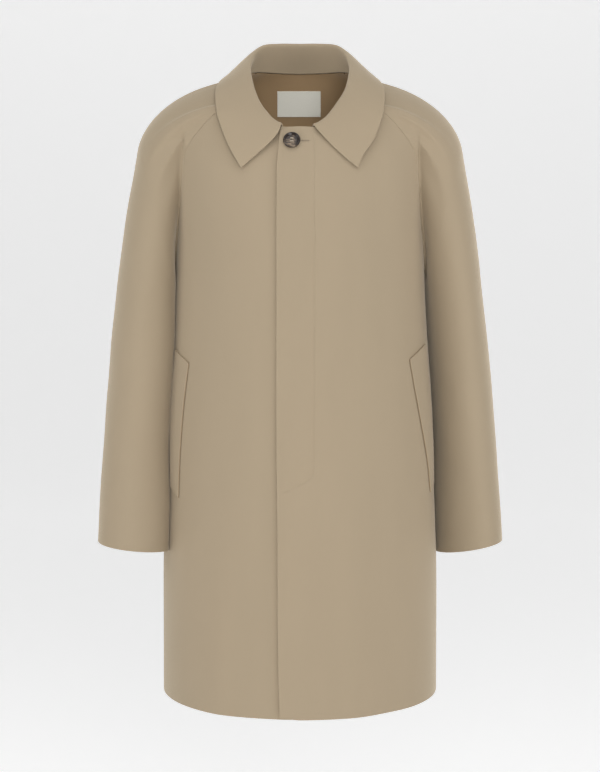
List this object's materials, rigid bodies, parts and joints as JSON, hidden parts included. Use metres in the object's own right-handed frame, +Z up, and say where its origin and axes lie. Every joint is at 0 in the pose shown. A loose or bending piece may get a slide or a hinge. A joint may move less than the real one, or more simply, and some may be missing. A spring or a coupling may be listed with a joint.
{
  "type": "car coat",
  "caption": "Thigh-length raglan-sleeved car coat with a turn-down collar, hidden fly front, one button at the neck and slanted welt pockets, filled out as if worn.",
  "frame": {"origin": "middle of the neck opening at the height where the shoulders meet the neck, where the wearer's neck and shoulders hold the coat", "axes": "+Z up towards the collar, -Y the coat's front, +X the wearer's left, which is the viewer's right from the front"},
  "size_m": [0.592, 0.324, 0.9596],
  "materials": {
    "coat_cloth": "smooth, closely woven beige cotton gabardine, matt with a faint sheen",
    "label_cloth": "off-white woven label, bare",
    "horn": "polished dark brown horn with lighter marbling"
  },
  "bodies": {
    "root": {"front_left": "coat_cloth", "front_right": "coat_cloth", "back": "coat_cloth", "sleeve_right_front": "coat_cloth", "sleeve_right_back": "coat_cloth", "sleeve_left_front": "coat_cloth", "sleeve_left_back": "coat_cloth", "collar": "coat_cloth", "pocket_welt_right": "coat_cloth", "pocket_welt_left": "coat_cloth", "label": "label_cloth", "button": "horn"}
  },
  "joints": []
}
